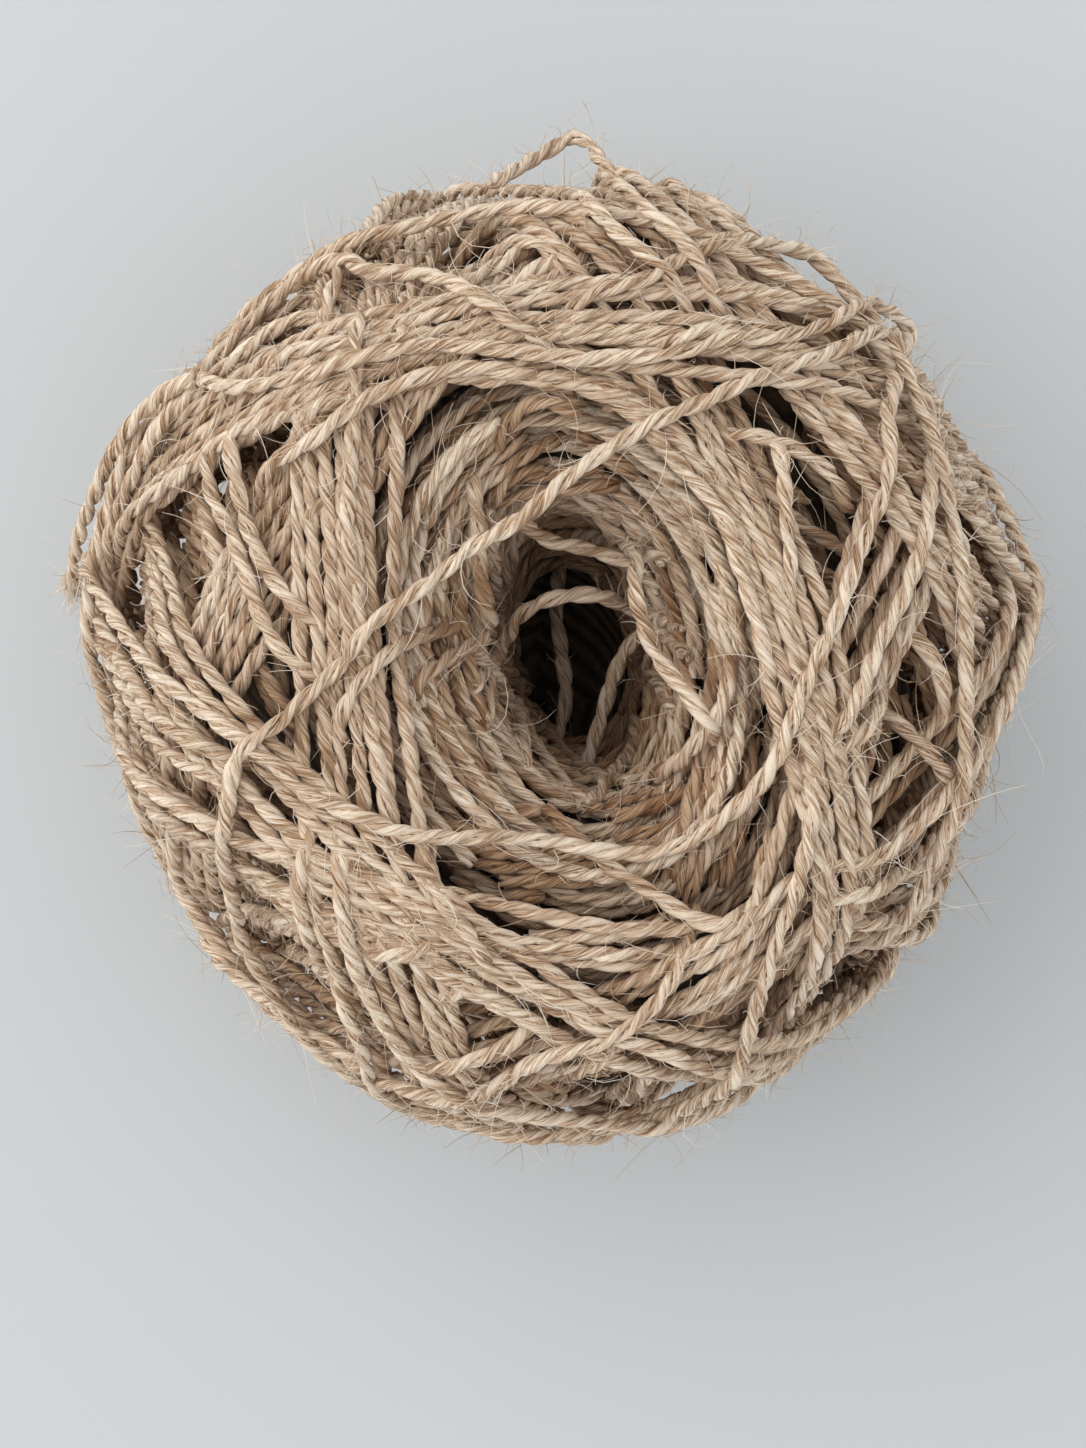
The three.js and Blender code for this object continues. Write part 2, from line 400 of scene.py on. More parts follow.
def even_line(points, step):
    """The same line with its points about a step apart."""
    along = lengths_along(points)
    count = max(int(round(along[-1] / step)), 2)
    places = np.linspace(0, along[-1], count + 1)
    return np.column_stack([np.interp(places, along, column) for column in points.T])


def unit(vectors):
    """The same directions, one unit long."""
    return vectors / np.maximum(np.linalg.norm(vectors, axis=-1, keepdims=True), 1e-9)


def slow_waves(places, strength, longest, count=4):
    """A smooth wander of about that strength along the places, in millimetres."""
    total = np.zeros(len(places))
    for k in range(count):
        wave = longest / (1.0 + 0.8 * k)
        total += np.sin(FULL_TURN * (places / wave + chance.random())) * chance.normal(0, 1) / (1 + 0.6 * k)
    return total * strength / 1.3


def place_at(x, y, height):
    """The place of that height which shows at a pixel of the photograph's frame."""
    scale = (CAMERA_PLACE[2] - height) * PIXEL_AT_1_MM
    across = CAMERA_PLACE[0] + (x - FRAME_MIDDLE[0]) * scale
    return np.array([across, CAMERA_PLACE[1] + (FRAME_MIDDLE[1] - y) * scale, height])


def round_the_axis(bearing, radius, height):
    """Places round the hollow's axis."""
    across = CENTRE[0] + radius * np.cos(bearing)
    return np.column_stack([across, CENTRE[1] + radius * np.sin(bearing), height])


# The form that the top turns reach. A way is a unit direction from the middle of the ball.


def outline_radius(bearing):
    """The radius of the widest outline: a smooth closed curve through the table."""
    count = len(OUTLINE_RADII)
    place = np.mod(bearing / FULL_TURN, 1.0) * count
    first = np.floor(place).astype(int)
    part = place - first
    before, start, end, after = (OUTLINE_RADII[(first + k) % count] for k in (-1, 0, 1, 2))
    bend = part * (3 * (start - end) + after - before)
    return start + 0.5 * part * (end - before + part * (2 * before - 5 * start + 4 * end - after + bend))


def oval_radius(oval, bearing):
    """The radius of an oval of the hollow. Its long axis leans from +Y towards -X."""
    across, along = oval
    turned = bearing - HOLLOW_LEAN
    return across * along / np.hypot(along * np.cos(turned), across * np.sin(turned))


def hollow_radius(depth, bearing):
    """The radius of the hollow at a depth below the crest."""
    across = np.interp(depth, HOLLOW_DEPTH, HOLLOW_ACROSS)
    along = np.interp(depth, HOLLOW_DEPTH, HOLLOW_ALONG)
    return oval_radius((across, along), bearing)


def lower_radius(ways, outline):
    """How far the form's surface lies below its widest outline."""
    level = np.hypot(ways[:, 0], ways[:, 1]) / outline
    return (level**LOWER_POWER + np.abs(ways[:, 2] / HALF_HEIGHT) ** LOWER_POWER) ** (-1 / LOWER_POWER)


def upper_radius(ways, outline, crest, rim):
    """Over the crest the form is a lid, which dips towards the hollow's rim."""
    level = np.hypot(ways[:, 0], ways[:, 1])
    low, high = (np.full(len(ways), limit) for limit in FORM_LIMITS)
    for _ in range(16):
        middle = (low + high) / 2
        out = np.maximum(level * middle - crest, 0) / (outline - crest)
        inner = np.clip((crest - level * middle) / (crest - rim), 0, 1)
        height = np.maximum(ways[:, 2] * middle + RIM_DROP * inner**2, 0)
        inside = out**UPPER_POWER + (height / HALF_HEIGHT) ** UPPER_POWER < 1
        low = np.where(inside, middle, low)
        high = np.where(inside, high, middle)
    return (low + high) / 2


def form_radius(ways):
    """How far the form's surface lies from the middle of the ball, over each way."""
    bearing = np.arctan2(ways[:, 1], ways[:, 0])
    outline = outline_radius(bearing)
    crest = oval_radius(CREST_OVAL, bearing)
    rim = oval_radius(RIM_OVAL, bearing)
    upper = upper_radius(ways, outline, crest, rim)
    return np.where(ways[:, 2] > 0, upper, lower_radius(ways, outline))


def over_the_mouth(ways):
    """Whether a way passes through the hollow's mouth, where nothing carries a turn."""
    bearing = np.arctan2(ways[:, 1], ways[:, 0])
    level = np.hypot(ways[:, 0], ways[:, 1])
    lid = (HALF_HEIGHT - RIM_DROP) * level / np.maximum(ways[:, 2], 1e-6)
    return (ways[:, 2] > 0) & (lid < oval_radius(RIM_OVAL, bearing) - RIM_MARGIN)


class Bed:
    """What the lowest turns rest on, as a depth below the form at even ways."""

    def __init__(self):
        steps = np.arange(BED_PLACES) + 0.5
        height = 1 - 2 * steps / BED_PLACES
        bearing = steps * math.pi * (1 + math.sqrt(5))
        level = np.sqrt(1 - height**2)
        self.ways = np.column_stack([level * np.cos(bearing), level * np.sin(bearing), height])
        self.depths = np.full(BED_PLACES, BED_START)

    def radius(self, ways):
        """The radius of the lowest turns' middles."""
        weights = np.exp(BED_SHARPNESS * (ways @ self.ways.T - 1))
        depth = weights @ self.depths / weights.sum(axis=1)
        return np.where(over_the_mouth(ways), 0.0, form_radius(ways) - depth)

    def settle(self, ways, excess):
        """Sinks under turns that stand too high, and rises under those that lie too low."""
        for k, place in enumerate(self.ways):
            close = ways @ place > BED_REACH
            if close.any():
                wanted = TOP_LEVEL + SIDE_LEVEL * (1 - place[2] ** 2)
                self.depths[k] += np.percentile(excess[close], TOP_PERCENT) - wanted
        self.depths = np.clip(self.depths, *BED_DEPTHS)


def pressed_in(ways, radius, kept):
    """The radius, with high places pressed into the form, and flat where the ball stands."""
    excess = np.maximum(radius - form_radius(ways) - HIGHEST_FREE, 0)
    down = np.minimum(ways[:, 2], -1e-6)
    return np.minimum(radius - excess * (1 - kept), (CENTRE[2] - FLOOR_CLEARANCE) / -down)


def round_the_mouth(ways, spread):
    """The ways, led round the hollow's mouth where they would cross it."""
    radius = form_radius(ways)
    places = ways * radius[:, None]
    bearing = np.arctan2(places[:, 1], places[:, 0])
    rim = oval_radius(RIM_OVAL, bearing) * spread
    level = np.hypot(places[:, 0], places[:, 1])
    wider = (level**MOUTH_POWER + rim**MOUTH_POWER) ** (1 / MOUTH_POWER)
    share = np.where(places[:, 2] > 0, wider / np.maximum(level, 1e-3), 1.0)
    return unit(places * np.column_stack([share, share, np.ones(len(share))]))


# Laying turns


class Winding:
    """The turns laid so far, as samples: a way, a radius, and which turn each belongs to."""

    GRID = 30

    def __init__(self):
        self.bed = Bed()
        self.clear()

    def clear(self):
        self.turns = []
        self.ways = np.empty((0, 3))
        self.radii = np.empty(0)
        self.cells = np.empty((0, 3), int)

    def settle(self):
        """Lays all the turns again on a bed that brings the top ones to the form."""
        self.bed.settle(self.ways, self.radii - form_radius(self.ways))
        turns = self.turns
        self.clear()
        for turn in turns:
            self.lay(turn["ways"], turn["closed"], turn["layer"])

    def cells_of(self, ways):
        return np.clip(((ways + 1) * self.GRID / 2).astype(int) + 1, 1, self.GRID)

    def near(self, ways):
        """Which samples may lie within reach of the ways."""
        touched = np.zeros((self.GRID + 2,) * 3, bool)
        x, y, z = self.cells_of(ways).T
        for step in np.ndindex(3, 3, 3):
            touched[x + step[0] - 1, y + step[1] - 1, z + step[2] - 1] = True
        return touched[tuple(self.cells.T)]

    def resting_radius(self, ways):
        """The radius at which a turn rests on the bed and on the turns below it."""
        radius = self.bed.radius(ways)
        if len(self.radii) == 0:
            return radius
        near = self.near(ways)
        if not near.any():
            return radius
        below = self.radii[near]
        cosine = ways @ self.ways[near].T
        room = CONTACT_DISTANCE**2 - below**2 * (1 - cosine**2)
        reach = np.where((room > 0) & (cosine > 0), below * cosine + np.sqrt(np.maximum(room, 0)), 0)
        return np.maximum(radius, reach.max(axis=1))

    def lay(self, ways, closed, layer, dives=(False, False)):
        """Lays one turn, pulled taut over what it meets, and keeps it."""
        last = any(dives)
        radius = self.resting_radius(ways)
        if last:
            radius = np.maximum(radius, form_radius(ways) - DEEPEST_LAST)
        radius = pull_taut(ways, radius, closed, LONG_TAUT_SPANS + TAUT_SPANS if last else TAUT_SPANS)
        radius = dive_at_ends(radius, dives)
        radius = pressed_in(ways, radius, LAST_SHARE if last else PRESSED_SHARE)
        radius = soften(radius, closed)
        self.turns.append({"ways": ways, "radii": radius, "closed": closed, "layer": layer})
        self.ways = np.vstack([self.ways, ways])
        self.radii = np.concatenate([self.radii, radius])
        self.cells = np.vstack([self.cells, self.cells_of(ways)])


def pull_taut(ways, radius, closed, spans):
    """Lifts each sample to the straight chord between samples before and after it."""
    for span in spans:
        if not closed and 2 * span >= len(radius):
            continue
        for _ in range(TAUT_ROUNDS):
            before = np.roll(radius, span)
            after = np.roll(radius, -span)
            between = np.sum(np.roll(ways, span, axis=0) * np.roll(ways, -span, axis=0), axis=1)
            half = np.sqrt(np.clip((1 + between) / 2, 0, 1))
            chord = 2 * before * after * half / np.maximum(before + after, 1e-6)
            if not closed:
                chord[:span] = 0
                chord[-span:] = 0
            radius = np.maximum(radius, chord)
    return radius


def dive_at_ends(radius, dives):
    """Lets an end sink between the turns below it."""
    radius = radius.copy()
    along = np.arange(len(radius)) * LAY_STEP
    for dive, away in zip(dives, (along, along[::-1])):
        if dive:
            radius -= DIVE_DEPTH * np.clip(1 - away / DIVE_LENGTH, 0, 1) ** 2
    return radius


def soften(values, closed, reach=4, width=1.3):
    """Rounds off the corners of a turn's radius, or of what else changes along a line."""
    weights = np.exp(-0.5 * (np.arange(-reach, reach + 1) / width) ** 2)
    weights /= weights.sum()
    padded = np.pad(values, reach, mode="wrap" if closed else "edge")
    return np.convolve(padded, weights, "valid")


def turn_ways(heading_deg, over, under):
    """The ways of one closed turn in a plane, from how far it passes the axis above and below."""
    heading = math.radians(heading_deg)
    tilt = math.atan((over - under) / (2 * HALF_HEIGHT))
    upright = math.cos(tilt)
    offset = upright * (over + under) / 2
    forward = np.array([math.cos(heading), math.sin(heading), 0.0])
    normal = np.array([-math.sin(heading) * upright, math.cos(heading) * upright, -math.sin(tilt)])
    upward = np.cross(forward, normal)
    count = int(FULL_TURN * math.sqrt(max(MEAN_RADIUS**2 - offset**2, 100)) / LAY_STEP)
    angle = (np.arange(count) / count + chance.random()) * FULL_TURN
    spokes = np.outer(np.cos(angle), forward) + np.outer(np.sin(angle), upward)
    reach = np.full(count, 38.0)
    for _ in range(6):
        places = offset * normal + spokes * reach[:, None]
        reach *= form_radius(unit(places)) / np.linalg.norm(places, axis=1)
    along = np.arange(count) * LAY_STEP
    wander = slow_waves(along, WANDER, along[-1] / 2)
    fade = np.sin(np.arange(count) / count * math.pi) ** 0.5
    return unit(offset * normal + spokes * reach[:, None] + np.outer(wander * fade, normal))


def lay_bundle(winding, heading, over, under, count, layer):
    """Turns side by side, each a little out of line with the others."""
    for k in range(count):
        shift = (k - (count - 1) / 2) * TURN_PITCH
        ways = turn_ways(
            heading + chance.normal(0, HEADING_SCATTER),
            over + shift + chance.normal(0, OVER_SCATTER),
            under + shift * UNDER_SPREAD + chance.normal(0, UNDER_SCATTER),
        )
        winding.lay(round_the_mouth(ways, MOUTH_SPREAD[layer]), True, layer)


def thickness_under(winding, heading, over, under):
    """How badly a bundle is wanted there: high places under it count against it, low ones for it."""
    total = 0.0
    for shift in TRIAL_SHIFTS:
        ways = turn_ways(heading, over + shift, under + shift)[::TRIAL_STEP]
        depth = (form_radius(ways) - winding.resting_radius(ways))[~over_the_mouth(ways)]
        total += np.mean(np.clip(WELL_COVERED - depth, 0, None) ** 2)
        total -= THIN_WEIGHT * np.mean(np.clip(depth - WELL_COVERED, 0, None))
    return total


def mouth_reach(heading_deg):
    """How far the hollow's rim reaches to either side of its axis, across a heading."""
    across = math.radians(heading_deg + 90) - HOLLOW_LEAN
    return math.hypot(RIM_OVAL[0] * math.cos(across), RIM_OVAL[1] * math.sin(across))


def lay_inner_layer(winding):
    """The lowest turns that can show: two even sets that cover the ball, beside the mouth both ways."""
    for heading in INNER_HEADINGS:
        nearest = mouth_reach(heading) * MOUTH_SPREAD["under"]
        for over in np.arange(nearest + 1, WIDEST_PASS, INNER_PITCH):
            under = (over - nearest) * WIDEST_PASS / (WIDEST_PASS - nearest)
            for side in (-1, 1):
                aside = side * under + chance.normal(0, INNER_SCATTER)
                ways = turn_ways(heading + chance.normal(0, HEADING_SCATTER), side * over, aside)
                winding.lay(round_the_mouth(ways, MOUTH_SPREAD["under"]), True, "under")


def lay_middle_bundles(winding):
    """The turns below the outer bundles. As by hand, each bundle goes where the ball is thinnest."""
    beside, anywhere = MIDDLE_BUNDLES
    half_width = MIDDLE_TURNS * TURN_PITCH / 2
    for k in range(beside + anywhere):
        choices = []
        for _ in range(MIDDLE_CHOICES):
            heading = chance.uniform(0, 360)
            if k < beside:
                heading = (k + 0.5) / beside * 360 + chance.normal(0, 5)
            nearest = mouth_reach(heading) * MOUTH_SPREAD["middle"] + half_width
            over = nearest + BESIDE_MOUTH
            if k >= beside:
                over = chance.uniform(nearest + CLEAR_OF_MOUTH, WIDEST_PASS)
            under = chance.uniform(*MIDDLE_UNDERSIDES)
            choices.append((thickness_under(winding, heading, over, under), heading, over, under))
        lay_bundle(winding, *min(choices)[1:], MIDDLE_TURNS, "middle")


def lay_outer_bundles(winding):
    """The bundles that show above. On the underside each goes where the ball is thinnest."""
    for heading, over, count in OUTER_BUNDLES:
        choices = [(thickness_under(winding, heading, over, under), under) for under in OUTER_UNDERSIDES]
        lay_bundle(winding, heading, over, min(choices)[1], count, "outer")


def under_pixel(x, y):
    """The way of the place on the form that shows at a pixel of the photograph's frame."""
    height = 60.0
    for _ in range(40):
        way = unit(place_at(x, y, height) - CENTRE)
        level = form_radius(way[None])[0] * way[2] + CENTRE[2]
        height += 0.4 * (max(level, CENTRE[2]) - height)
    return way


def run_on(ways):
    """The ways, carried on past their last one down the side of the ball."""
    start = ways[-1]
    ahead = ways[-1] - ways[-4]
    ahead = unit(ahead - start * np.dot(ahead, start))
    angles = np.arange(1, int(RUN_ON_LENGTH / LAY_STEP)) * LAY_STEP / MEAN_RADIUS
    return np.vstack([ways, np.outer(np.cos(angles), start) + np.outer(np.sin(angles), ahead)])


def seen_ways(pixels):
    """A smooth line of ways through pixels of the photograph's frame."""
    line = smooth_line([under_pixel(x, y) for x, y in pixels])
    places = line * form_radius(unit(line))[:, None]
    return unit(even_line(places, LAY_STEP))


def lay_last_turns(winding):
    """The turns that lie on top, as the photograph shows them."""
    for passed in LAST_TURNS:
        ways = seen_ways([pixel for pixel in passed if pixel != RUN_ON])
        if passed[-1] == RUN_ON:
            ways = run_on(ways)
        if passed[0] == RUN_ON:
            ways = run_on(ways[::-1])[::-1]
        winding.lay(ways, False, "last", (True, True))
    winding.lay(seen_ways(LOOSE_TURN), False, "loose", (False, True))
    winding.lay(run_on(seen_ways(TOP_TURN)), False, "last", (True, True))


# Which samples show


def neighbour_pairs(places, reach):
    """Every ordered pair of places that lie within reach of each other, as two index arrays."""
    cells = np.floor(places / reach).astype(np.int64) + 64
    keys = (cells[:, 0] * 256 + cells[:, 1]) * 256 + cells[:, 2]
    order = np.argsort(keys, kind="stable")
    ranked = keys[order]
    firsts = []
    seconds = []
    for step in np.ndindex(3, 3, 3):
        wanted = keys + ((step[0] - 1) * 256 + step[1] - 1) * 256 + step[2] - 1
        low = np.searchsorted(ranked, wanted, "left")
        count = np.searchsorted(ranked, wanted, "right") - low
        first = np.repeat(np.arange(len(keys)), count)
        within = np.arange(len(first)) - np.repeat(np.cumsum(count) - count, count)
        second = order[np.repeat(low, count) + within]
        close = np.sum((places[first] - places[second]) ** 2, axis=1) < reach**2
        firsts.append(first[close])
        seconds.append(second[close])
    return np.concatenate(firsts), np.concatenate(seconds)


def find_cover(winding):
    """Which samples are hidden under others, and how deep each lies below its surroundings."""
    ways = winding.ways
    radii = winding.radii
    places = ways * MEAN_RADIUS
    first, second = neighbour_pairs(places, COVER_REACH)
    rise = radii[second] - radii[first]
    depth = np.zeros(len(radii))
    np.maximum.at(depth, first, rise)
    above = rise > COVER_RISE
    first, second = first[above], second[above]
    side = unit(np.cross(ways, ASIDE))
    other = np.cross(ways, side)
    hidden = np.ones(len(radii), bool)
    probes = [(0.0, 0.0)]
    for k in range(PROBES):
        angle = k / PROBES * FULL_TURN
        probes.append((PROBE_RADIUS * math.cos(angle), PROBE_RADIUS * math.sin(angle)))
    for across, along in probes:
        probe = places + across * side + along * other
        gap = np.sum((probe[first] - places[second]) ** 2, axis=1)
        covered = np.zeros(len(radii), bool)
        covered[first[gap < COVER_WIDTH**2]] = True
        hidden &= covered
    return hidden, depth


def kept_stretches(hidden, closed):
    """The stretches of a turn that show, as lists of sample numbers, each a little longer."""
    shown = ~hidden
    grown = shown.copy()
    for step in (-2, -1, 1, 2):
        grown |= np.roll(shown, step)
    if grown.all():
        return [np.append(np.arange(len(grown)), 0)] if closed else [np.arange(len(grown))]
    if not grown.any():
        return []
    start = int(np.flatnonzero(~grown)[0]) if closed else 0
    order = (np.arange(len(grown)) + start) % len(grown)
    edges = np.diff(np.concatenate([[0], grown[order].astype(int), [0]]))
    begins = np.flatnonzero(edges == 1)
    ends = np.flatnonzero(edges == -1)
    return [order[a:b] for a, b in zip(begins, ends) if b - a >= SHORTEST_STRETCH]


# Meshes


class Skein:
    """Closed tubes, gathered into one mesh with the notes that its material reads."""

    def __init__(self):
        self.points = []
        self.fibres = []
        self.depths = []
        self.corners = []
        self.sizes = []
        self.count = 0
        self.triangles = 0

    def add(self, rings, fibre, depth):
        """Adds tubes, from an array of rings: tube, ring, corner, and place."""
        tubes, length, sides = rings.shape[:3]
        ids = self.count + np.arange(tubes * length * sides).reshape(tubes, length, sides)
        beside = np.roll(ids, -1, axis=2)
        walls = np.stack([ids[:, :-1], beside[:, :-1], beside[:, 1:], ids[:, 1:]], axis=-1).reshape(-1, 4)
        caps = np.concatenate([ids[:, 0, ::-1], ids[:, -1]])
        self.corners += [walls.ravel(), caps.ravel()]
        self.sizes += [np.full(len(walls), 4), np.full(len(caps), sides)]
        self.points.append(rings.reshape(-1, 3))
        self.fibres.append(fibre.reshape(-1, 3))
        self.depths.append(depth.ravel())
        self.count += tubes * length * sides
        self.triangles += 2 * len(walls) + (sides - 2) * len(caps)

    def make(self, name, material):
        """The mesh as an object."""
        sizes = np.concatenate(self.sizes)
        corners = np.concatenate(self.corners)
        mesh = bpy.data.meshes.new(name)
        mesh.vertices.add(self.count)
        mesh.vertices.foreach_set("co", (np.concatenate(self.points) * MM).astype(np.float32).ravel())
        mesh.loops.add(len(corners))
        mesh.loops.foreach_set("vertex_index", corners.astype(np.int32))
        mesh.polygons.add(len(sizes))
        mesh.polygons.foreach_set("loop_start", (np.cumsum(sizes) - sizes).astype(np.int32))
        mesh.polygons.foreach_set("use_smooth", np.ones(len(sizes), bool))
        mesh.update(calc_edges=True)
        fibre = mesh.attributes.new("fibre", "FLOAT_VECTOR", "POINT")
        fibre.data.foreach_set("vector", np.concatenate(self.fibres).astype(np.float32).ravel())
        # The depth note carries the painted shade that the material darkens the colour by, from none at 0
        # to full at 1.
        depth = mesh.attributes.new("depth", "FLOAT", "POINT")
        depth.data.foreach_set("value", np.concatenate(self.depths).astype(np.float32))
        mesh.materials.append(material)
        piece = bpy.data.objects.new(name, mesh)
        bpy.context.collection.objects.link(piece)
        return piece


class Bin:
    """Skeins of one layer, with a new one started before a mesh gets too large."""

    def __init__(self, name):
        self.name = name
        self.skeins = [Skein()]

    def open_skein(self):
        if self.skeins[-1].triangles > MOST_TRIANGLES:
            self.skeins.append(Skein())
        return self.skeins[-1]

    def make(self, material):
        """The layer's pieces, numbered where there is more than one."""
        if len(self.skeins) == 1:
            return [self.skeins[0].make(self.name, material)]
        return [skein.make(f"{self.name}_{k + 1}", material) for k, skein in enumerate(self.skeins)]


def plain_form(name, rings, material):
    """A closed form through rings of places."""
    skein = Skein()
    tube = np.array(rings)[None]
    skein.add(tube, np.zeros(tube.shape), np.zeros(tube.shape[:3]))
    return skein.make(name, material)


def frames_along(points):
    """An outward and a sideways direction at each point of a line, square to it."""
    outward = points - CENTRE
    forward = unit(np.gradient(points, axis=0))
    outward = unit(outward - forward * np.sum(forward * outward, axis=1)[:, None])
    return outward, np.cross(forward, outward)


def ripple(start, length, tag, waves):
    """The start value with slow waves along the yarn added to it."""
    for strength, reach, times in waves:
        start = start + strength * np.sin(length / reach + times * tag)
    return start


def add_yarn(skein, points, depth, sides, turn=None, closed_ends=(True, True)):
    """Two plies around each other along a line of points, with depth as the painted shade of each point.
    Returns the points, each with its painted shade.
    """
    up, side = frames_along(points)
    length = lengths_along(points)
    if turn is None:
        turn = chance.random() * FULL_TURN
    tag = chance.random() * STRAND_SHIFTS
    twist = turn - FULL_TURN * length / TWIST_PITCH + ripple(0.0, length, tag, TWIST_WAVES)
    fullness = ripple(1, length, tag, FULLNESS_WAVES)
    ends = np.ones(len(points))
    for end, closed in zip((0, -1), closed_ends):
        if closed:
            ends[end] = CLOSED_END
    corner = np.arange(sides) / sides * FULL_TURN
    across = np.stack([PLY_HALF_THICKNESS * np.cos(corner), PLY_HALF_WIDTH * np.sin(corner)], axis=-1)
    strength, reach, step = PLY_WAVE
    for ply in (0, 1):
        lay = twist + ply * math.pi
        away = np.cos(lay)[:, None] * up + np.sin(lay)[:, None] * side
        beside = np.cos(lay)[:, None] * side - np.sin(lay)[:, None] * up
        full = fullness * (1 + strength * np.sin(length / reach + step * ply + tag))
        spokes = across[:, :1] * away[:, None] + across[:, 1:] * beside[:, None]
        rings = (points + PLY_OFFSET * away)[:, None] + spokes * (full * ends)[:, None, None]
        fibre = np.empty((len(points), sides, 3))
        fibre[..., 0] = (length + tag)[:, None]
        fibre[..., 1:] = across[None] + PLY_SHIFT * ply
        skein.add(rings[None], fibre, np.repeat(depth[:, None], sides, axis=1))
    return np.column_stack([points, depth])


# Materials


class Value:
    """A socket's output, with the arithmetic that the finishes need."""

    def __init__(self, finish, socket):
        self.finish = finish
        self.socket = socket

    def work(self, operation, first, second):
        return self.finish.node("ShaderNodeMath", {"operation": operation}, {0: first, 1: second})

    def __add__(self, other):
        return self.work("ADD", self, other)

    def __mul__(self, other):
        return self.work("MULTIPLY", self, other)

    __radd__ = __add__
    __rmul__ = __mul__


class Finish:
    """A material under a maker's hands: its nodes, and the shader that they feed."""

    def __init__(self, name, **constants):
        self.material = bpy.data.materials.new(name)
        self.material.use_nodes = True
        self.nodes = self.material.node_tree.nodes
        self.links = self.material.node_tree.links
        self.shader = self.nodes["Principled BSDF"]
        for socket, value in constants.items():
            self.shader.inputs[socket.replace("_", " ")].default_value = value

    def node(self, kind, settings=None, sockets=None, output=0):
        """A node of any kind: its settings first, then the values or links of its sockets."""
        node = self.nodes.new(kind)
        for key, value in (settings or {}).items():
            if key == "stops":
                self.set_stops(node.color_ramp.elements, value)
            else:
                setattr(node, key, value)
        for key, value in (sockets or {}).items():
            self.feed(node.inputs[key], value)
        return Value(self, node.outputs[output])

    def set_stops(self, elements, stops):
        while len(elements) < len(stops):
            elements.new(0.5)
        for element, (place, colour) in zip(elements, stops):
            element.position = place
            element.color = (*colour, 1)

    def feed(self, socket, value):
        if isinstance(value, Value):
            self.links.new(value.socket, socket)
        else:
            socket.default_value = value

    def note(self, name, output):
        """What a mesh notes at its points."""
        return self.node("ShaderNodeAttribute", {"attribute_name": name}, output=output)

    def noise(self, place, scale, detail=2.0, roughness=0.5):
        sockets = {"Vector": place, "Scale": scale, "Detail": detail, "Roughness": roughness}
        return self.node("ShaderNodeTexNoise", {}, sockets)

    def stretched(self, place, sizes):
        return self.node("ShaderNodeVectorMath", {"operation": "MULTIPLY"}, {0: place, 1: sizes})

    def ramp(self, value, stops):
        return self.node("ShaderNodeValToRGB", {"stops": stops}, {0: value})

    def mix(self, share, first, second, blend="MIX"):
        settings = {"data_type": "RGBA", "blend_type": blend}
        return self.node("ShaderNodeMix", settings, {0: share, 6: first, 7: second}, output=2)

    def relief(self, height, strength, distance):
        sockets = {"Height": height, "Strength": strength, "Distance": distance}
        return self.node("ShaderNodeBump", {}, sockets)

    def give(self, socket, value):
        self.feed(self.shader.inputs[socket], value)


def yarn_finish(name):
    """Pale fibres with tan and brown streaks along each ply, and painted shade that darkens them where the
    turns lie deep.
    """
    finish = Finish(name, Roughness=0.85, Sheen_Weight=0.15, Sheen_Roughness=0.5, Specular_IOR_Level=0.25)
    fibre = finish.note("fibre", "Vector")
    # The depth note is how much painted shade each point gets, from none at 0 to full at 1.
    depth = finish.note("depth", "Fac")
    streak = finish.noise(finish.stretched(fibre, (0.28, 3.4, 3.4)), 1.0, 3.0, 0.7)
    patch = finish.noise(finish.stretched(fibre, (0.11, 0.35, 0.35)), 1.0, 2.0)
    hair = finish.noise(finish.stretched(fibre, (0.45, 8.0, 8.0)), 1.0, 2.0, 0.6)
    shade = streak * 0.5 + hair * 0.25 + patch * 0.25
    stops = [(0.38, BROWN_FIBRE), (0.44, TAN_FIBRE), (0.495, CREAM_FIBRE), (0.55, PALE_FIBRE)]
    colour = finish.mix(depth, finish.ramp(shade, stops), SHADED_YARN + (1,), "MULTIPLY")
    finish.give("Base Color", colour)
    finish.give("Normal", finish.relief(streak * 0.5 + hair * 0.5, 1.0, 0.00022))
    return finish.material


def core_finish(name):
    """The innermost turns, seen only through gaps: rough yarn painted dark brown as shade."""
    finish = Finish(name, Roughness=0.95)
    place = finish.node("ShaderNodeTexCoord", output="Object")
    bands = {"wave_type": "BANDS", "bands_direction": "DIAGONAL"}
    sockets = {"Vector": place, "Scale": 260.0, "Distortion": 3.0, "Detail": 2.0}
    rows = finish.node("ShaderNodeTexWave", bands, sockets)
    height = rows * 0.5 + finish.noise(place, 900.0, 3.0, 0.6) * 0.5
    finish.give("Base Color", finish.ramp(height, [(0.3, CORE_SHADE_DARK), (0.75, CORE_SHADE_LIGHT)]))
    finish.give("Normal", finish.relief(height, 0.8, 0.0006))
    return finish.material


def hair_finish(name):
    """Stray fibres, some pale and some golden."""
    finish = Finish(name, Roughness=0.6)
    tone = finish.noise(finish.stretched(finish.note("fibre", "Vector"), (0.6, 0.6, 0.6)), 1.0)
    stops = [(0.35, GOLDEN_HAIR), (0.48, CREAM_HAIR), (0.6, PALE_HAIR)]
    finish.give("Base Color", finish.ramp(tone, stops))
    return finish.material


# Pieces


def add_free_turn(skein, pixels, shade):
    """A turn that touches nothing, from the pixels that it passes and its heights there, with one even
    amount of painted shade.
    """
    step, sides = FINE
    line = even_line(smooth_line([place_at(*pixel) for pixel in pixels]), step)
    return add_yarn(skein, line, np.full(len(line), shade), sides)


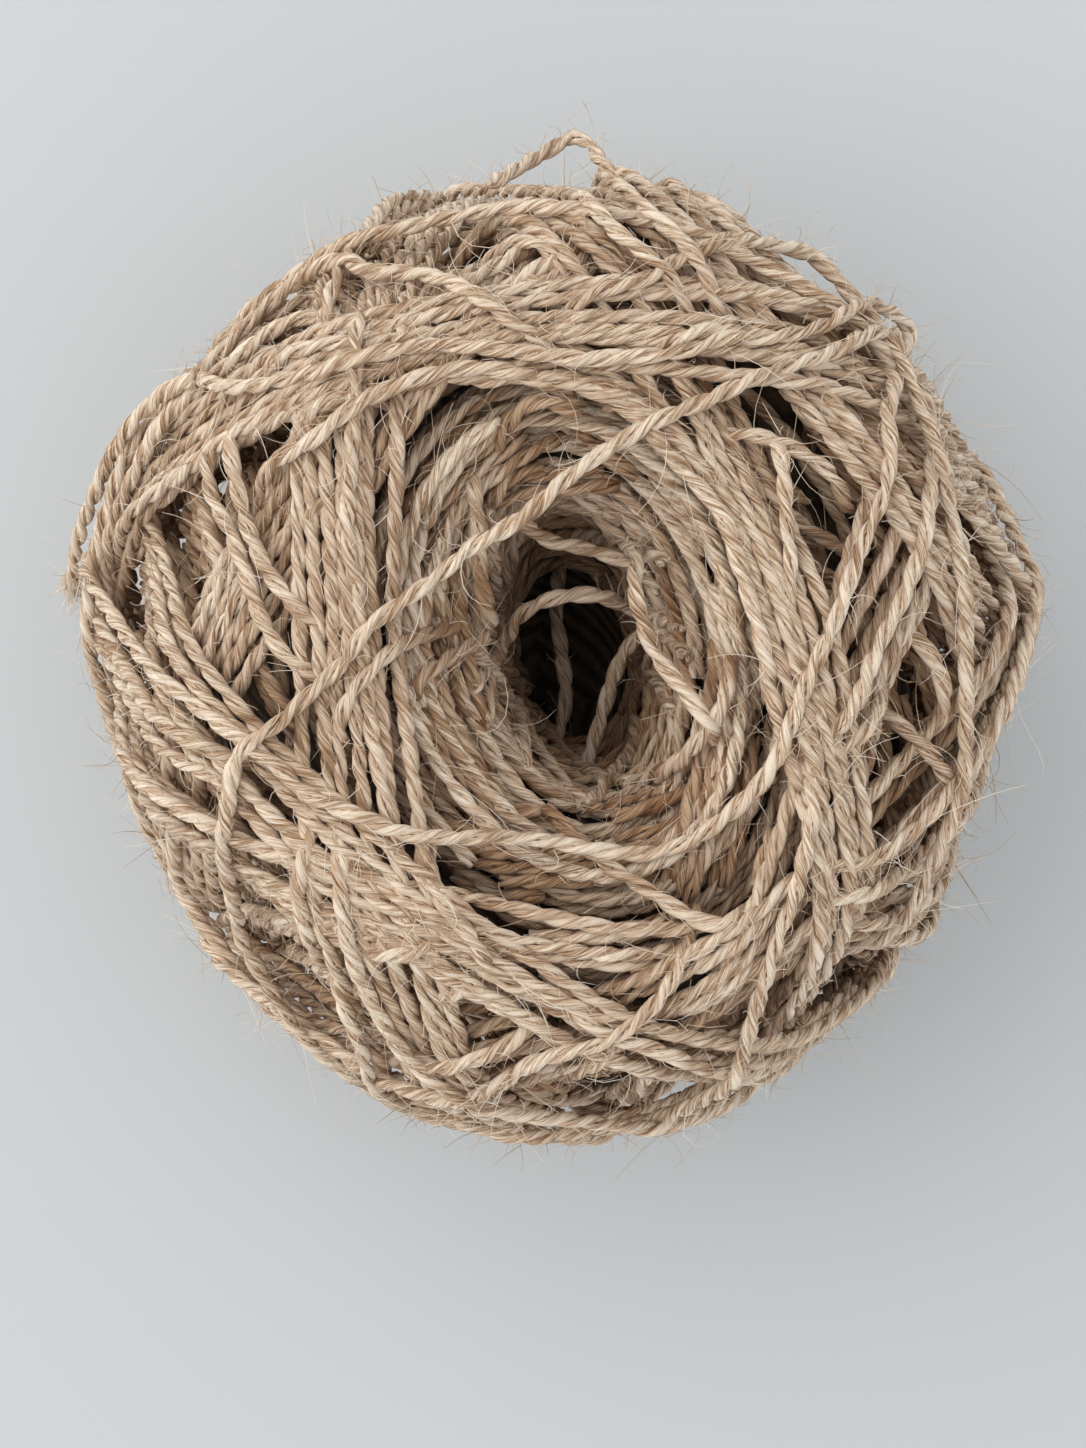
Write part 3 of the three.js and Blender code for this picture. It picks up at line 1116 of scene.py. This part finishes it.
def add_turns(winding, bins):
    """Makes yarn of every stretch of a turn that shows, and returns where hairs can grow."""
    hidden, depth = find_cover(winding)
    begin = 0
    roots = []
    for turn in winding.turns:
        layer = turn["layer"]
        end = begin + len(turn["radii"])
        if layer in ("last", "loose"):
            hidden[begin:end] = False
        points = CENTRE + turn["ways"] * turn["radii"][:, None]
        step, sides = DETAILS[layer]
        for stretch in kept_stretches(hidden[begin:end], turn["closed"]):
            line = points[stretch]
            along = lengths_along(line)
            fine = even_line(smooth_line(line, 4), step)
            # Painted shade: yarn that lies deep below its neighbours gets a darker colour.
            deep = np.clip(depth[begin:end][stretch] / FULL_SHADE_DEPTH, 0, 1)
            deep = soften(np.interp(np.linspace(0, along[-1], len(fine)), along, deep), False)
            roots.append(add_yarn(bins[layer].open_skein(), fine, deep, sides))
        begin = end
    for pixels in FREE_KINKS:
        roots.append(add_free_turn(bins["last"].open_skein(), pixels, 0.0))
    return np.vstack(roots)


def hollow_rows():
    """All the rows of turns round the hollow: how deep each lies, and how far out."""
    rows = list(MOUTH_ROWS)
    depth, last = WALL_DEPTHS
    while depth < last:
        rows.append((depth, WALL_OUT))
        pitch = WALL_PITCHES[0] if depth < PITCH_CHANGE else WALL_PITCHES[1]
        depth += pitch * (1 + PITCH_SCATTER * chance.normal())
    return rows


def hollow_line(depth, start, span, lean, out):
    """A line along the hollow's wall, round part of it and down by lean."""
    count = max(int(abs(span) * 11), int(abs(lean) * 1.5), 8)
    share = np.linspace(0, 1, count)
    bearing = start + span * share
    level = np.clip(depth + lean * share + slow_waves(share * 40, 0.7, 60, 2), 0.2, 46)
    radius = hollow_radius(level, bearing) + out + slow_waves(share * 40, 0.25, 30, 2)
    return round_the_axis(bearing, radius, CREST_HEIGHT - level)


def shade_below(line, shading, more=0.0):
    """How much painted shade a line in the hollow gets, from its heights."""
    start, span = shading
    return np.clip((CREST_HEIGHT - start - line[:, 2]) / span + more, 0, 1)


def add_hollow(skein):
    """The hollow's wall: turns around it in rows, some that run down it, and the free ones inside."""
    roots = []
    # Each row gets painted shade that deepens down the hollow, and more where it lies behind the wall.
    for depth, out in hollow_rows():
        step, sides = FINE if out < HIDDEN_ROW else PLAIN
        more = 0.0 if out < HIDDEN_ROW else HIDDEN_SHADE
        start = chance.random() * FULL_TURN
        for half in (0, 1):
            span = math.pi * chance.uniform(0.95, 1.25)
            lean = chance.normal(0, 1.5) + 0.05 * depth
            line = hollow_line(depth, start + half * math.pi, span, lean, out + chance.uniform(-0.3, 0.7))
            fine = even_line(line, step)
            roots.append(add_yarn(skein, fine, shade_below(fine, WALL_SHADE, more), sides))
    step, sides = FINE
    for k in range(HANGING_TURNS):
        start = (k + chance.random() * 0.7) / HANGING_TURNS * FULL_TURN
        span = math.radians(chance.uniform(25, 80)) * chance.choice([-1, 1])
        line = hollow_line(chance.uniform(6, 12), start, span, chance.uniform(14, 30), HANGING_OUT)
        fine = even_line(line, step)
        roots.append(add_yarn(skein, fine, shade_below(fine, HANGING_SHADE), sides))
    for pixels in HOLLOW_STRAYS:
        roots.append(add_free_turn(skein, pixels, STRAY_SHADE))
    return np.vstack(roots)


def core(winding):
    """The closed form under all the turns, with its own hollow."""
    bearings = np.arange(CORE_COLUMNS) / CORE_COLUMNS * FULL_TURN
    rings = []
    for latitude in np.linspace(*CORE_LATITUDES, CORE_RINGS):
        level = math.cos(math.radians(latitude))
        height = np.full(CORE_COLUMNS, math.sin(math.radians(latitude)))
        ways = np.column_stack([np.cos(bearings) * level, np.sin(bearings) * level, height])
        rings.append(CENTRE + ways * (winding.bed.radius(ways) - CORE_DROP)[:, None])
    for depth, spread in CORE_HOLLOW:
        height = np.full(CORE_COLUMNS, CREST_HEIGHT - depth)
        rings.append(round_the_axis(bearings, hollow_radius(depth, bearings) + spread, height))
    return plain_form("inner_core", rings, core_finish("inner turns"))


def add_hairs(skein, roots, ahead, lengths, radius, curl, rings):
    """Curved, tapering fibres from their roots. None goes through the floor."""
    count = len(roots)
    axis = unit(chance.normal(size=(count, 3)))
    step = (lengths / (rings - 1))[:, None]
    bend = (chance.normal(0, curl, count) + curl * 0.5) * 4 / (rings - 1)
    points = [roots]
    ways = [ahead]
    for _ in range(rings - 1):
        points.append(points[-1] + step * ways[-1])
        turned = ways[-1] + np.cross(axis, ways[-1]) * bend[:, None]
        ways.append(unit(turned))
    points = np.stack(points, axis=1)
    points[..., 2] = np.maximum(points[..., 2], HAIR_CLEARANCE)
    ways = np.stack(ways, axis=1)
    side = unit(np.cross(ways, axis[:, None]))
    other = np.cross(ways, side)
    corner = np.arange(3) / 3 * FULL_TURN
    taper = np.linspace(1, HAIR_TIP, rings)[None, :, None, None]
    spokes = np.cos(corner)[:, None] * side[:, :, None] + np.sin(corner)[:, None] * other[:, :, None]
    tubes = points[:, :, None] + spokes * radius[:, None, None, None] * taper
    tag = chance.random((count, 1, 1, 3)) * 50
    skein.add(tubes, np.broadcast_to(tag, tubes.shape), np.zeros(tubes.shape[:3]))


def fuzz(skein, samples, count, longest, mean, radius, curl, rings):
    """Stray hairs all over the yarn that shows, fewer where it lies deep."""
    weights = np.where(samples[:, 2] < LOW_HEIGHT, LOW_SHARE, 1.0) * (SHADED_SHARE - samples[:, 3])
    picks = chance.choice(len(samples) - 1, count, p=weights[:-1] / weights[:-1].sum())
    middle = samples[picks, :3]
    forward = unit(samples[picks + 1, :3] - middle)
    outward = unit(middle - CENTRE)
    sideways = np.cross(forward, outward)
    lean = chance.normal(0, 0.8, (count, 1))
    sense = chance.choice([-1.0, 1.0], (count, 1))
    start = unit(outward + sideways * lean)
    ahead = unit(start * chance.uniform(0.15, 0.9, (count, 1)) + forward * sense + sideways * lean * 0.6)
    lengths = np.clip(chance.gamma(HAIR_SPREAD, mean / HAIR_SPREAD, count), SHORTEST_HAIR, longest)
    thick = radius * chance.uniform(0.7, 1.2, count)
    add_hairs(skein, middle + start * HAIR_ROOT, ahead, lengths, thick, curl, rings)


def frayed_tip():
    """The tuft at the loose end, where the plies have opened."""
    skein = Skein()
    along = unit(LOOSE_END_ROUTE[-1] - LOOSE_END_ROUTE[-3])
    spread = chance.normal(size=(TUFT_FIBRES, 3)) * TUFT_SPREAD
    ahead = unit(along + chance.normal(size=(TUFT_FIBRES, 3)) * TUFT_FAN)
    lengths = chance.uniform(*TUFT_LENGTHS, TUFT_FIBRES)
    radius = chance.uniform(*TUFT_RADII, TUFT_FIBRES)
    roots = LOOSE_END_ROUTE[-1] + spread - along * TUFT_START
    add_hairs(skein, roots, ahead, lengths, radius, TUFT_CURL, TUFT_RINGS)
    return skein.make("frayed_tip", hair_finish("frayed fibres"))


def loose_end(material):
    """The free cord, from where it leaves the ball to its frayed tip."""
    skein = Skein()
    step, sides = LOOSE_END_DETAIL
    line = even_line(smooth_line(LOOSE_END_ROUTE), step)
    add_yarn(skein, line, np.zeros(len(line)), sides, 0.0, (False, True))
    piece = skein.make("loose_yarn", material)
    tip = frayed_tip()
    for thing in (piece, tip):
        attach(thing, "root")
    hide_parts("loose_end")


def wound_turns():
    """All the turns of the ball, laid one after the other."""
    winding = Winding()
    lay_inner_layer(winding)
    lay_middle_bundles(winding)
    lay_outer_bundles(winding)
    for _ in range(SETTLINGS):
        winding.settle()
    lay_last_turns(winding)
    return winding


def wound_ball(material):
    """The ball's yarn in its layers, its hollow and its stray hairs."""
    winding = wound_turns()
    bins = {layer: Bin(f"{layer}_turns") for layer in ("under", "middle", "outer", "last")}
    layers = list(bins.values())
    bins["loose"] = bins["last"]
    roots = add_turns(winding, bins)
    hollow = Bin("hollow_turns")
    hollow_roots = add_hollow(hollow.open_skein())
    pieces = [core(winding)]
    for layer in layers + [hollow]:
        pieces += layer.make(material)
    hair = hair_finish("stray fibres")
    samples = np.vstack([roots, hollow_roots])
    for name, settings in HAIRS.items():
        hairs = Skein()
        fuzz(hairs, samples, *settings)
        pieces.append(hairs.make(name, hair))
    for piece in pieces:
        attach(piece, "root")
        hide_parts("wound_ball")


# The surroundings


def camera():
    """The camera over the ball, set as the scene's own."""
    data = bpy.data.cameras.new("camera")
    data.lens = CAMERA_LENS
    data.sensor_width = SENSOR
    data.clip_start = 0.01
    thing = bpy.data.objects.new("camera", data)
    thing.location = CAMERA_PLACE * MM
    bpy.context.collection.objects.link(thing)
    bpy.context.scene.camera = thing


def floor():
    """A plain pale floor."""
    half = FLOOR_HALF_SIDE
    corners = np.array([[-half, -half, 0], [half, -half, 0], [half, half, 0], [-half, half, 0]], float)
    finish = Finish("pale floor", Roughness=0.6, Base_Color=(*FLOOR_COLOUR, 1))
    thing = plain_form("floor", [corners - [0, 0, FLOOR_THICKNESS], corners], finish.material)
    thing.data.polygons.foreach_set("use_smooth", np.zeros(len(thing.data.polygons), bool))


def soft_light(name, place, size, power, colour):
    """A square area light that looks at the ball."""
    data = bpy.data.lights.new(name, "AREA")
    data.shape = "SQUARE"
    data.size = size * MM
    data.energy = power
    data.color = colour
    thing = bpy.data.objects.new(name, data)
    place = np.array(place, float)
    thing.location = place * MM
    towards = unit(CENTRE - place)
    yaw = math.atan2(towards[1], towards[0])
    thing.rotation_euler = (math.acos(-towards[2]), 0, yaw - math.pi / 2)
    bpy.context.collection.objects.link(thing)


def lights():
    """A large window at the upper left, and an even sky."""
    soft_light("window", WINDOW_PLACE, WINDOW_SIZE, WINDOW_POWER, WINDOW_COLOUR)
    world = bpy.data.worlds.new("soft sky")
    world.use_nodes = True
    background = world.node_tree.nodes["Background"]
    background.inputs["Color"].default_value = SKY_COLOUR
    background.inputs["Strength"].default_value = SKY_STRENGTH
    bpy.context.scene.world = world
    bpy.context.scene.view_settings.view_transform = "Standard"


camera()
YARN = yarn_finish("two-ply yarn")
loose_end(YARN)
wound_ball(YARN)
floor()
lights()
